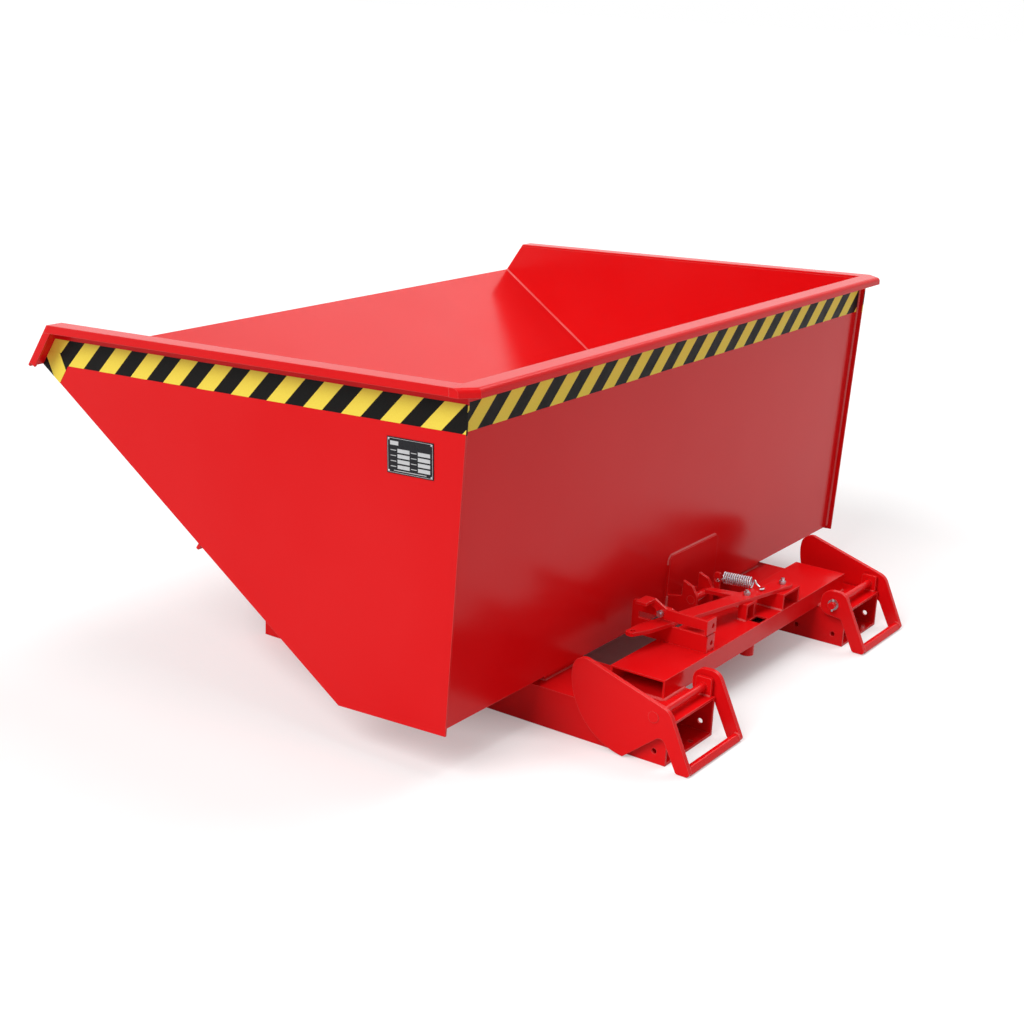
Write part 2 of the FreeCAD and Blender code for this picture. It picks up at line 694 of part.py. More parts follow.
def pinned(side, centre, diameter, rim, inner, outer, flush=False):
    """A pin along X with a washer and a split pin at its inner end, and at its outer one unless flush."""
    ends = [(inner, -1)] if flush else [(inner, -1), (outer, 1)]
    pieces, drills = [], []
    for face, way in ends:
        far = f"({face} + ({way}) * washer_thick)"
        faces = (face, far) if way > 0 else (far, face)
        ring = rod("x", centre, f"{diameter} + 2 * {rim}", *span(side, *faces))
        through = span(side, f"{faces[0]} - washer_thick", f"{faces[1]} + washer_thick")
        bore = rod("x", centre, diameter, *through)
        place = (mirrored(side, f"{far} + ({way}) * cotter / 2"), centre[0])
        reach = f"({diameter} / 2 + cotter_over)"
        cotter = rod("z", place, "cotter", f"{centre[1]} - {reach}", f"{centre[1]} + {reach}")
        drills.append(rod("z", place, "cotter", f"{centre[1]} - {diameter}", f"{centre[1]} + {diameter}"))
        pieces += [cut(ring, bore), cotter]
    stick = "(washer_thick + cotter + pin_end)"
    reach = span(side, f"{inner} - {stick}", outer if flush else f"{outer} + {stick}")
    bar = rod("x", centre, diameter, *reach)
    return cut(bar, *drills), group(*pieces)


# Slip-off locks at the fork mouths


def locks():
    """A fan plate, an inner leg, a stirrup bar and a pin on two lugs at each fork mouth."""
    toe = ("lock_foot - lock_foot_width", "lock_low")
    fan = [("-lock_tip", "lock_low", ("lock_fan_radius", False)),
           ("-lock_tip - lock_fan_front", "lock_fan_low"),
           ("-lock_tip - lock_fan_front + lock_fan_step", "lock_fan_top"),
           ("lock_shoulder", "lock_shoulder_top"), ("lock_foot", "lock_low"), toe,
           ("lock_notch", "-lock_notch_level")]
    fan_rounds = [(2, "lock_fan_round"), (3, "lock_shoulder_round"), (6, "lock_notch_round"),
                  (4, "lock_toe_round"), (5, "lock_toe_round")]
    leg = [("-lock_eye", "lock_eye"), ("lock_eye - lock_leg_step", "lock_eye"), ("lock_foot", "lock_low"),
           toe, ("lock_notch", "-lock_eye"), ("-lock_eye", "lock_leg_step - lock_eye")]
    leg_rounds = [(0, "lock_eye_round"), (1, "lock_eye_round"), (5, "lock_heel_round"),
                  (2, "lock_toe_round"), (3, "lock_toe_round")]
    bar = [("lock_foot - lock_bar_inset", "lock_low"),
           ("lock_bar_top", "lock_low + lock_bar_height"),
           ("lock_bar_top - lock_bar_thick", "lock_low + lock_bar_height"),
           ("lock_foot - lock_bar_inset - lock_bar_thick", "lock_low")]
    outer = ("fork_outer + lock_gap", "fork_outer + lock_gap + lock_thick")
    inner = ("fork_inner - lock_gap - lock_thick", "fork_inner - lock_gap")
    head = (outer[0], f"{outer[1]} + lock_head_over")
    for side in SIDES:
        plates = {"fan": plate("YZ", fan, *span(side, *outer), [("0", "0", "lock_head")], fan_rounds),
                  "leg": plate("YZ", leg, *span(side, *inner), [("0", "0", "lock_pin")], leg_rounds),
                  "bar": plate("YZ", bar, *span(side, inner[1], outer[0]),
                               rounds=[(i, "lock_bar_round") for i in range(4)])}
        for name, piece in plates.items():
            seat(piece, y="lock_y", z="lock_axis_level")
            node(piece, f"lock_{name}_{side}")
        centre = ("lock_y", "lock_axis_level")
        pin, keeper = pinned(side, centre, "lock_pin", "lock_washer_rim", f"({inner[0]})", outer[1],
                             flush=True)
        node(fuse(pin, rod("x", centre, "lock_head", *span(side, *head))), f"lock_pin_{side}")
        node(keeper, f"lock_keeper_{side}")
        node(lock_lugs(side), f"lock_lugs_{side}")


def lock_lugs(side):
    """Two lugs on top of a fork tube that carry the lock's pin."""
    outline = [("lock_y - lug_width / 2", "fork_height"), ("lock_y + lug_width / 2", "fork_height"),
               ("lock_y + lug_width / 2", "lock_axis_level + lug_over"),
               ("lock_y - lug_width / 2", "lock_axis_level + lug_over")]
    bore = [("lock_y", "lock_axis_level", "lock_pin + 2 * hinge_play")]
    faces = (("fork_inner", "fork_inner + lug_thick"), ("fork_outer - lug_thick", "fork_outer"))
    return group(*[plate("YZ", outline, *span(side, *pair), bore, [(2, "lug_round"), (3, "lug_round")])
                   for pair in faces])


# Latch lever, its supports and its spring


def on_lever(obj):
    """Seats an object that is drawn along the lever, from its pivot."""
    seat(obj, x="lever_pivot_x", y="pivot_y", turn="lever_angle", axis=(0, 0, 1))
    return obj


def latch():
    """The lever with its arm, stop bolt and spring stud, and the stands it slides on."""
    edge = "lever_width / 2"
    lever = plate("XY", [
        ("-lever_tail", f"-({edge})"), ("arm_root", f"-({edge})"),
        ("arm_tip", "-arm_reach"), ("arm_tip + arm_tip_width", "-arm_reach"),
        ("arm_root + arm_width", f"-({edge})"), ("lever_reach - lever_taper", f"-({edge})"),
        ("lever_reach + lever_end", "-lever_tip_width / 2"),
        ("lever_reach + lever_end", "lever_tip_width / 2"),
        ("lever_reach - lever_taper", edge), ("-lever_tail", edge)],
        "lever_level", "lever_top",
        holes=[("0", "0", "lever_bolt + 2 * hinge_play"), ("lever_reach", "0", "lever_hole"),
               ("stop_bolt_along", "0", "stop_bolt"), ("spring_along", "0", "spring_stud")],
        rounds=[(0, "lever_round"), (9, "lever_round"), (2, "arm_round"), (3, "arm_round"),
                (6, "tip_round"), (7, "tip_round")])
    node(on_lever(lever), "latch_lever")
    stop = ("stop_bolt_along", "0")
    stop_nut = "lever_top + stop_bolt * 0.8"
    bolt = fuse(rod("z", stop, "stop_bolt", "lever_level", f"{stop_nut} + stop_bolt_end"),
                hexagon("z", stop, "stop_bolt * 1.6", "lever_top", stop_nut))
    node(on_lever(group(bolt)), "lever_stop_bolt")
    stud = rod("z", ("spring_along", "0"), "spring_stud", "lever_level",
               "spring_level - spring_drop + spring_wire / 2 + spring_stud_over")
    node(on_lever(group(stud)), "spring_stud")
    pivot = ("lever_pivot_x", "pivot_y")
    head = "lever_top + slide_gap"
    flange = "stand_top - stand_wall"
    pivot_nut = f"{head} + lever_bolt * 0.8"
    shank = rod("z", pivot, "lever_bolt", f"{flange} - lever_bolt", f"{pivot_nut} + lever_bolt_end")
    cap = hexagon("z", pivot, "lever_bolt * 1.6", head, pivot_nut)
    node(fuse(shank, cap), "lever_pivot_bolt")
    nut = cut(hexagon("z", pivot, "lever_bolt * 1.6", f"{flange} - lever_bolt * 0.8", flange),
              rod("z", pivot, "lever_bolt", f"{flange} - lever_bolt", "stand_top"))
    node(nut, "lever_pivot_nut")
    bracket = stand(("lever_pivot_x - pivot_bracket_right", "lever_pivot_x + pivot_bracket_left"),
                    ("cross_rear - pivot_bracket_depth", "cross_rear"),
                    rod("z", pivot, "lever_bolt", "cross_top", "lever_top"))
    node(bracket, "lever_pivot_bracket")
    post = stand(("post_x - post_width / 2", "post_x + post_width / 2"),
                 ("cross_rear - post_inset - post_depth", "cross_rear - post_inset"))
    node(post, "lever_post")
    foot = rod("z", ("post_foot_x", "cross_rear - post_foot_inset"), "post_foot",
               "fork_height - post_foot_drop", "fork_height")
    node(foot, "post_foot")


def stand(x, y, *drills):
    """A folded stand on the rear cross tube, open to the rear, with a flat top for the lever."""
    hollow = box((f"{x[0]} + stand_wall", f"{x[1]} - stand_wall"),
                 (f"{y[0]} + stand_wall", f"{y[1]} + stand_wall"),
                 ("cross_top - stand_wall", "stand_top - stand_wall"))
    return cut(box(x, y, ("cross_top", "stand_top")), hollow, *drills)


def lever_guide():
    """A C-shaped plate that the lever runs in, open to the rear, with a flange at its back."""
    front = "(cross_rear - guide_front)"
    back = "(cross_rear - guide_back)"
    top = "(throat_low + guide_throat)"
    guide = plate("YZ", [
        (front, "cross_top"), (back, "cross_top"), (back, "throat_low"),
        (f"{front} + guide_column", "throat_low"), (f"{front} + guide_column", top),
        (f"{front} + guide_arm", top),
        (f"{front} + guide_arm", "cross_top + guide_top"), (front, "cross_top + guide_top")],
        "guide_x", "guide_x + guide_thick", [("catch_axis_y", "catch_axis_level", "catch_bolt")],
        [(6, "guide_round"), (7, "guide_round")])
    flange = box(("guide_x - flange_width", "guide_x"), (f"{back} - guide_thick", back),
                 ("cross_top", "throat_low"))
    eye = rod("y", ("guide_x - flange_width / 2", "(cross_top + throat_low) / 2"), "flange_hole",
              f"{back} - 2 * guide_thick", f"{back} + guide_thick")
    node(cut(fuse(guide, flange), eye), "lever_guide")


def safety_catch():
    """The hinged plate that shuts the guide behind the lever, with a thumb tab, and its bolt and nut."""
    outer = "(catch_plate_x + guide_thick)"
    blade = plate("YZ", [
        ("-catch_front", "-catch_front"), ("catch_plate_length", "-catch_front"),
        ("catch_plate_length", "catch_plate_top"), ("catch_front", "catch_front"),
        ("-thumb_reach + thumb_length", "thumb_rise"), ("-thumb_reach", "thumb_rise"),
        ("-thumb_reach", "thumb_rise - guide_thick"), ("-catch_front", "thumb_drop")],
        "catch_plate_x", outer, [("0", "0", "catch_bolt + 2 * hinge_play")], [(0, "catch_round")])
    flange = box(("guide_x - flange_width", outer),
                 ("catch_plate_length - guide_thick", "catch_plate_length"),
                 ("-catch_flange_low", "catch_plate_top"))
    thumb = box((outer, f"{outer} + thumb_width"), ("-thumb_reach", "-thumb_reach + thumb_length"),
                ("thumb_rise - guide_thick", "thumb_rise"))
    eye = rod("y", ("guide_x - flange_width / 2", "(catch_plate_top - catch_flange_low) / 2"), "flange_hole",
              "catch_plate_length - 2 * guide_thick", "catch_plate_length + guide_thick")
    catch = cut(fuse(blade, flange, thumb), eye)
    seat(catch, y="catch_axis_y", z="catch_axis_level")
    node(catch, "safety_catch")
    centre = ("catch_axis_y", "catch_axis_level")
    face = f"({outer} + slide_gap)"
    bolt = fuse(rod("x", centre, "catch_bolt", "guide_x", f"{face} + catch_bolt"),
                hexagon("x", centre, "catch_bolt * 1.7", "guide_x - catch_bolt * 0.65", "guide_x"))
    node(bolt, "catch_bolt")
    nut = cut(hexagon("x", centre, "catch_bolt * 1.7", face, f"{face} + catch_bolt * 0.8"),
              rod("x", centre, "catch_bolt", outer, f"{face} + catch_bolt"))
    node(nut, "catch_nut")


def spring_lug():
    """An upright lug on the rear cross tube for the fixed end of the spring."""
    front = "(cross_front - spring_lug_over)"
    back = "(cross_front - spring_lug_over + spring_lug_width)"
    lug = plate("YZ", [
        ("cross_front", "cross_top"), ("cross_front + spring_lug_foot", "cross_top"),
        (back, "spring_level - 2 * spring_lug_width"), (back, "spring_level + spring_lug_top"),
        (front, "spring_level + spring_lug_top"), (front, "spring_level - 2 * spring_lug_width")],
        "spring_lug_x - spring_lug_thick / 2", "spring_lug_x + spring_lug_thick / 2",
        [("spring_eye_y", "spring_level - spring_drop", "spring_eye")],
        [(3, "spring_lug_round"), (4, "spring_lug_round")])
    node(lug, "spring_lug")


def spring():
    """The return spring: one wire with a hook in the lug, close coils and a hook round the lever's stud."""
    lug = FreeCAD.Vector(num("spring_lug_x"), num("spring_eye_y"), num("spring_level"))
    stud = FreeCAD.Vector(num("lever_pivot_x + spring_along * cos(lever_angle)"),
                          num("pivot_y + spring_along * sin(lever_angle)"), num("spring_level"))
    way = (stud - lug).normalize()
    up = FreeCAD.Vector(0, 0, 1)
    across = up.cross(way)
    wire, step, radius = num("spring_wire"), num("spring_step"), num("spring_mean / 2")
    hook, drop = num("spring_hook"), num("spring_drop")
    length = (stud - lug).Length + num("(spring_stud + spring_wire) / 2 + slide_gap")
    first = num("spring_end")
    turns = int((length - first - num("spring_reach")) / step)
    lead = step / (2 * math.pi * radius)
    hooked = [((hook, -hook, -drop), (-1, 0, 0)), ((0, 0, -drop), (0, 1, 0)),
              ((hook, hook, -drop), (1, 0, 0))]
    coils = []
    for quarter in range(4 * turns + 1):
        turn = math.pi / 2 * (quarter + 1)
        coils.append(((first + step * quarter / 4, radius * math.sin(turn), -radius * math.cos(turn)),
                      (lead, math.cos(turn), math.sin(turn))))
    far = [((length - s, a, h), (ds, -da, -dh)) for (s, a, h), (ds, da, dh) in reversed(hooked)]
    stations = []
    for place, heading in hooked + coils + far:
        point, tangent = (way * v[0] + across * v[1] + up * v[2] for v in (place, heading))
        stations.append((lug + point, tangent.normalize()))
    edges = [edge for start, end in zip(stations, stations[1:]) for edge in biarc(*start, *end)]
    profile = Part.Wire([Part.Circle(*stations[0], wire / 2).toShape()])
    coil = doc.addObject("Part::Feature", "spring")
    coil.Shape = Part.Wire(edges).makePipeShell([profile], True, False)
    node(coil, "return_spring")
    gap = round(least_gap(edges, wire, radius), 2)
    print("return spring:", turns, "turns, least gap between turns", gap, "mm")


def biarc(start, heading, end, arrival):
    """Two arcs that leave one point along a direction and reach another along its own."""
    way, both = end - start, heading + arrival
    spread = 2 * (1 - heading.dot(arrival))
    reach = (math.sqrt(way.dot(both) ** 2 + spread * way.dot(way)) - way.dot(both)) / spread
    corners = start + heading * reach, end - arrival * reach
    middle = (corners[0] + corners[1]) * 0.5
    return [bend(start, corners[0], middle), bend(middle, corners[1], end)]


def bend(start, corner, end):
    """The arc from start to end whose end tangents meet at the corner."""
    middle = (start + end) * 0.5
    out = corner - middle
    half_chord = (end - start).Length / 2
    crown = middle + out * (half_chord * math.tan(math.atan2(out.Length, half_chord) / 2) / out.Length)
    return Part.Arc(start, crown, end).toShape()


def least_gap(edges, wire, radius):
    """The least free distance between stretches of wire at least half a turn apart."""
    points = [(edge.valueAt(edge.FirstParameter + (edge.LastParameter - edge.FirstParameter) * step / 6))
              for edge in edges for step in range(6)]
    travelled = [0.0]
    for before, after in zip(points, points[1:]):
        travelled.append(travelled[-1] + (after - before).Length)
    return min((points[j] - points[i]).Length for i in range(len(points)) for j in range(i + 1, len(points))
               if travelled[j] - travelled[i] > math.pi * radius) - wire


tub_shell()
tub_rim()
tub_fittings()
base_frame()
tub_rests()
tub_hinges()
locks()
latch()
lever_guide()
safety_catch()
spring_lug()
spring()
doc.recompute()

for item in doc.Objects:
    if "Invalid" in item.State or "Error" in item.State:
        raise RuntimeError(f"{item.Label} did not compute")
for item in nodes:
    if item.Shape.isNull() or not item.Shape.isValid():
        raise RuntimeError(f"{item.Label} has no valid shape")
os.makedirs("parts", exist_ok=True)
for item in nodes:
    item.Shape.exportStep(f"parts/{item.Label}.step")
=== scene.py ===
import json
import math
import random

import bmesh
import bpy
from mathutils import Matrix, Quaternion, Vector


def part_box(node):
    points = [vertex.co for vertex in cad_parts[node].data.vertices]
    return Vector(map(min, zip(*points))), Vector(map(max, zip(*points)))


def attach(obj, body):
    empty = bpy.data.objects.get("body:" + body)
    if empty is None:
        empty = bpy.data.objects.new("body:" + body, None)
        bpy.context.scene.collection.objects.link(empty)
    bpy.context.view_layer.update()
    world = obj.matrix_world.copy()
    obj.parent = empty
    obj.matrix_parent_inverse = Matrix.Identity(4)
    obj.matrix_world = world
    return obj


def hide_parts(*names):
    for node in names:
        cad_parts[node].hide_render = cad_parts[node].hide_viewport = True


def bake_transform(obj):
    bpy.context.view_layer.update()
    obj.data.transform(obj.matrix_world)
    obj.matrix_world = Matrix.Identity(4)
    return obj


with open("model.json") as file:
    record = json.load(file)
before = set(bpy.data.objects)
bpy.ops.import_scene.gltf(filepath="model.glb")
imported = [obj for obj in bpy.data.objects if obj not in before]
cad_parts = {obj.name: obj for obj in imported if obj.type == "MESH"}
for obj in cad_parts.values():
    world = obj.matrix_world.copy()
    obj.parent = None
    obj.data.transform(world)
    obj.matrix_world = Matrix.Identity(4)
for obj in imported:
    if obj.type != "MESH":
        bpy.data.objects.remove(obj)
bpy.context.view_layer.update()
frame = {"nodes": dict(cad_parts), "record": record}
nodes = frame["nodes"]
random.seed(7)

# Sizes are in metres, angles in degrees, and a noise's scale is per metre

# Tub: x runs to its left, y to the rear and z up from HEEL, the lower edge of the rear wall
HEEL = Vector((0, 0.3386, 0.0978))
TUB_PITCH = 2.65
REAR_LEAN = 4.7
SLOPE_ANGLE = 36.0
TUB_HALF = 0.8
SHEET = 0.004
FLOOR_LENGTH = 0.217
LIP = Vector((0, -0.9809, 0.559))
LIP_BAR = 0.04
PANEL_OFFSET = 0.0167
PANEL_REAR = 0.013
RIB_RUN = 0.3555
RIB_WIDTH = 0.04
DOUBLER_TOP = 0.13
DOUBLER_FACE = 0.006
DOUBLER_ROUND = 0.008
PLATE_Y = -0.059
PLATE_Z = 0.489

# Plates on the base
LUG_THICK = 0.008
GUIDE_THICK = 0.006

# Stirrup bars of the locks: where the top begins and ends behind the front, and where the slanting face ends
BAR_TOP_START = 0.002
BAR_TOP_END = 0.011
BAR_FROM_REAR = 0.0015
BAR_FROM_FLOOR = 0.006

# Hazard tape: a START is where a stripe begins, and the strip runs down a panel's front edge
TAPE_WIDTH = 0.051
TAPE_PITCH = 0.0875
TAPE_THICK = 0.0003
TAPE_INSET = 0.006
TAPE_LOW_SIDE = 0.546
TAPE_LOW_REAR = 0.545
TAPE_REAR_GAP = 0.001
TAPE_START = -0.8244
STRIP_WIDTH = 0.062
STRIP_LAP = 0.024
STRIP_SLANT = 0.45
STRIP_START = -0.9476
STRIP_LEVEL = 0.501

# Weld beads: their radii
BEAD = 0.0035
FINE_BEAD = 0.003
HEAVY_BEAD = 0.004
GUIDE_BEAD = 0.005
BAR_BEAD = 0.0025

# Seams: how far a bead's middle stands off its sheet, and where some of them start and end
BEAD_LIFT = 0.001
WALL_SEAM_LOW = 0.002
WALL_SEAM_TOP = 0.62
SLOPE_SEAM = (0.05, 0.93)
CHEEK_SEAM = (0.012, 0.042)
DOUBLER_SEAM_SIDE = 0.02

# How near two corners of a mesh count as one
SAME_POINT = 1e-6

# Camera, fitted to the photograph
EYE = Vector((2.989, 1.9537, 1.3657))
AIM = Vector((0.1463, 0.0271, 0.2853))
ROLL = 2.77
LENS_MM = 59.47
SENSOR_MM = 36.0

TUB = Matrix.Translation(HEEL) @ Matrix.Rotation(math.radians(TUB_PITCH), 4, "X")
WALL = Matrix.Translation(HEEL) @ Matrix.Rotation(math.radians(TUB_PITCH - REAR_LEAN), 4, "X")


# Materials

EDGE_ROUND = 0.0018
# Edges are painted a paler red: partly thin paint on the edges, partly a painted highlight along them.
EDGE_PALE = 0.55
THIN_PAINT_AND_HIGHLIGHT_RED = (0.88, 0.14, 0.13)
DUST = (0.36, 0.10, 0.09)
PAINT_SHINE = 0.12
FILM_SHINE = 0.06
METALLIC = 0.92
FINE_BUMP = 0.0003
COARSE_BUMP = 0.001


def add(tree, kind, inputs=None, **settings):
    """Adds a shader node; an input is a value or another node's socket."""
    node = tree.nodes.new("ShaderNode" + kind)
    for name, value in settings.items():
        setattr(node, name, value)
    for name, value in (inputs or {}).items():
        if isinstance(value, bpy.types.NodeSocket):
            tree.links.new(value, node.inputs[name])
        else:
            node.inputs[name].default_value = value
    return node


def blank(name):
    """A material with its tree, its shader and its object coordinates."""
    material = bpy.data.materials.new(name)
    material.use_nodes = True
    tree = material.node_tree
    shader = tree.nodes["Principled BSDF"]
    return material, tree, shader, add(tree, "TexCoord").outputs["Object"]


def noise(tree, place, scale, detail=2.0):
    """Soft noise from 0 to 1."""
    return add(tree, "TexNoise", {"Vector": place, "Scale": scale, "Detail": detail}).outputs["Fac"]


def cells(tree, place, scale, output):
    """A pattern of cells: each one's Color, or the Distance from its middle."""
    return add(tree, "TexVoronoi", {"Vector": place, "Scale": scale}).outputs[output]


def spread(tree, value, low, high, start=0.35, end=0.65):
    """A value stretched from start and end to low and high; noise lies mostly in the range set here."""
    return add(tree, "MapRange", {"Value": value, "From Min": start, "From Max": end,
                                  "To Min": low, "To Max": high}).outputs["Result"]


def mix(tree, factor, first, second, **settings):
    """Two colours mixed; each is red, green and blue or another node's socket."""
    inputs = {"Fac": factor}
    for name, colour in (("Color1", first), ("Color2", second)):
        inputs[name] = colour if isinstance(colour, bpy.types.NodeSocket) else (*colour, 1)
    return add(tree, "MixRGB", inputs, **settings).outputs["Color"]


def bump(tree, height, strength, distance=FINE_BUMP, **inputs):
    """A normal that follows a height."""
    inputs.update(Height=height, Strength=strength, Distance=distance)
    return add(tree, "Bump", inputs).outputs["Normal"]


def paint(name, colour, light, peel=0.12, ripple=0.0):
    """Gloss paint: slow colour drift (on welds towards a pale painted highlight), dust specks, orange peel,
    and edges softened and painted paler, partly as thin paint and partly as a painted highlight.
    """
    material, tree, shader, place = blank(name)
    rounded = add(tree, "Bevel", {"Radius": EDGE_ROUND}, samples=6).outputs["Normal"]
    facing = add(tree, "NewGeometry").outputs["Normal"]
    bend = add(tree, "VectorMath", {0: rounded, 1: facing}, operation="DOT_PRODUCT").outputs["Value"]
    edge = spread(tree, bend, EDGE_PALE, 0.0, start=0.90, end=0.995)
    # Slow drift towards the second colour; on the welds that colour is a pale painted highlight.
    drift_and_highlight = mix(tree, spread(tree, noise(tree, place, scale=2.5), 0.0, 0.3), colour, light)
    # Paler red at the edges: thin paint and a painted highlight along every edge.
    thin_and_highlight = mix(tree, edge, drift_and_highlight, THIN_PAINT_AND_HIGHLIGHT_RED)
    specks = spread(tree, noise(tree, place, scale=420.0, detail=3.0), 0.0, 0.15, start=0.70, end=0.78)
    tree.links.new(mix(tree, specks, thin_and_highlight, DUST), shader.inputs["Base Color"])
    gloss = spread(tree, noise(tree, place, scale=9.0, detail=3.0), 0.19, 0.24, start=0.2, end=0.8)
    tree.links.new(gloss, shader.inputs["Roughness"])
    skin = bump(tree, noise(tree, place, scale=260.0), peel, Normal=rounded)
    if ripple:
        skin = bump(tree, noise(tree, place, scale=700.0, detail=3.0), ripple, COARSE_BUMP, Normal=skin)
    tree.links.new(skin, shader.inputs["Normal"])
    shader.inputs["Specular IOR Level"].default_value = PAINT_SHINE
    return material


def metal(name, colour, dark, rough, grain, dull, tooth):
    """Plated or drawn steel: spangles, dull patches and a fine tooth."""
    material, tree, shader, place = blank(name)
    patches = cells(tree, place, grain, "Color")
    tone = mix(tree, spread(tree, noise(tree, place, scale=160.0, detail=4.0), 0.0, dull), colour, dark)
    spangle = mix(tree, 0.12, tone, patches, blend_type="SOFT_LIGHT")
    tree.links.new(spangle, shader.inputs["Base Color"])
    worn = spread(tree, noise(tree, place, scale=240.0, detail=3.0), rough - 0.08, rough + 0.1)
    tree.links.new(worn, shader.inputs["Roughness"])
    tree.links.new(bump(tree, noise(tree, place, scale=900.0), tooth), shader.inputs["Normal"])
    shader.inputs["Metallic"].default_value = METALLIC
    return material


def film(name, colour, second, rough):
    """Printed or anodised sheet: a fine cell pattern under a smooth face."""
    material, tree, shader, place = blank(name)
    pattern = cells(tree, place, 420.0, "Distance")
    mottle = mix(tree, spread(tree, pattern, 0.0, 0.35, start=0.2, end=0.7), colour, second)
    tree.links.new(mottle, shader.inputs["Base Color"])
    rubbed = spread(tree, noise(tree, place, scale=60.0, detail=4.0), rough - 0.06, rough + 0.1)
    tree.links.new(rubbed, shader.inputs["Roughness"])
    tree.links.new(bump(tree, pattern, 0.06), shader.inputs["Normal"])
    shader.inputs["Specular IOR Level"].default_value = FILM_SHINE
    return material


RED = paint("red_paint", (0.76, 0.004, 0.006), (0.82, 0.018, 0.020))
# Weld beads are a pinker red than the paint and drift towards pale pink: a painted highlight on the beads.
WELD = paint("red_weld", (0.76, 0.04, 0.04), (0.92, 0.46, 0.44), peel=0.3, ripple=0.5)
ZINC = metal("zinc_plate", (0.56, 0.56, 0.58), (0.38, 0.38, 0.40), rough=0.32, grain=320.0,
             dull=0.8, tooth=0.12)
STEEL = metal("spring_steel", (0.58, 0.58, 0.62), (0.42, 0.42, 0.45), rough=0.26, grain=120.0,
              dull=0.3, tooth=0.02)
YELLOW = film("tape_yellow", (0.97, 0.77, 0.10), (0.92, 0.68, 0.07), rough=0.36)
BLACK = film("tape_black", (0.008, 0.0075, 0.007), (0.016, 0.015, 0.014), rough=0.40)
DARK = film("plate_dark", (0.022, 0.022, 0.025), (0.040, 0.040, 0.045), rough=0.30)
FIELD = film("plate_field", (0.62, 0.63, 0.64), (0.54, 0.55, 0.56), rough=0.34)

FINISH = {"red_paint": RED, "zinc": ZINC, "spring_steel": STEEL, "plate_dark": DARK}
PAINTED_PINS = ("lock_pin_left", "lock_pin_right", "spring_stud")
for entry in frame["record"]["subparts"]:
    item = nodes[entry["node"]]
    item.data.materials.clear()
    item.data.materials.append(RED if entry["node"] in PAINTED_PINS else FINISH[entry["material_slot"]])


# Pieces


def shown(name, mesh, materials):
    """A finished mesh as an object in the scene."""
    data = bpy.data.meshes.new(name)
    mesh.to_mesh(data)
    mesh.free()
    for material in materials:
        data.materials.append(material)
    obj = bpy.data.objects.new(name, data)
    bpy.context.scene.collection.objects.link(obj)
    return obj


def piece(name, mesh, body, materials):
    """A finished mesh as an object that rides on a body."""
    obj = shown(name, mesh, materials)
    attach(obj, body)


def smooth(mesh):
    """Shades a mesh smoothly."""
    for face in mesh.faces:
        face.smooth = True


def clip(polygon, normal, limit):
    """The part of a flat polygon where its points times the normal stay under a limit."""
    kept = []
    for start, end in zip(polygon, polygon[1:] + polygon[:1]):
        inside, other = limit - start.dot(normal), limit - end.dot(normal)
        if inside >= 0:
            kept.append(start)
        if inside * other < 0:
            kept.append(start.lerp(end, inside / (inside - other)))
    return kept


def striped(mesh, band, slant, first, place, normal):
    """Fills a flat band with stripes and thickens it; slant is the stripes' run per unit of height."""
    across = Vector((1, -slant))
    ends = [corner.dot(across) for corner in band]
    half = TAPE_PITCH / 2
    older = set(mesh.faces)
    corners = []
    step = math.floor((min(ends) - first) / half)
    while first + step * half < max(ends):
        low = first + step * half
        stripe = clip(clip(band, across, low + half), -across, -low)
        if len(stripe) > 2:
            spots = [Vector((0, *flat)) if normal.x else Vector((flat.x, 0, flat.y)) for flat in stripe]
            face = mesh.faces.new([mesh.verts.new(place @ spot) for spot in spots])
            face.material_index = step % 2
            corners.extend(face.verts)
        step += 1
    bmesh.ops.remove_doubles(mesh, verts=corners, dist=SAME_POINT)
    stripes = [face for face in mesh.faces if face not in older]
    raised = bmesh.ops.extrude_face_region(mesh, geom=stripes, use_keep_orig=True)["geom"]
    bmesh.ops.translate(mesh, vec=(place.to_3x3() @ normal) * TAPE_THICK,
                        verts=[item for item in raised if isinstance(item, bmesh.types.BMVert)])


def tape_piece(side, mesh):
    """The tape on one side of the tub, with its faces turned outwards."""
    bmesh.ops.recalc_face_normals(mesh, faces=mesh.faces)
    piece(f"hazard_tape_{side}", mesh, "tub", (YELLOW, BLACK))


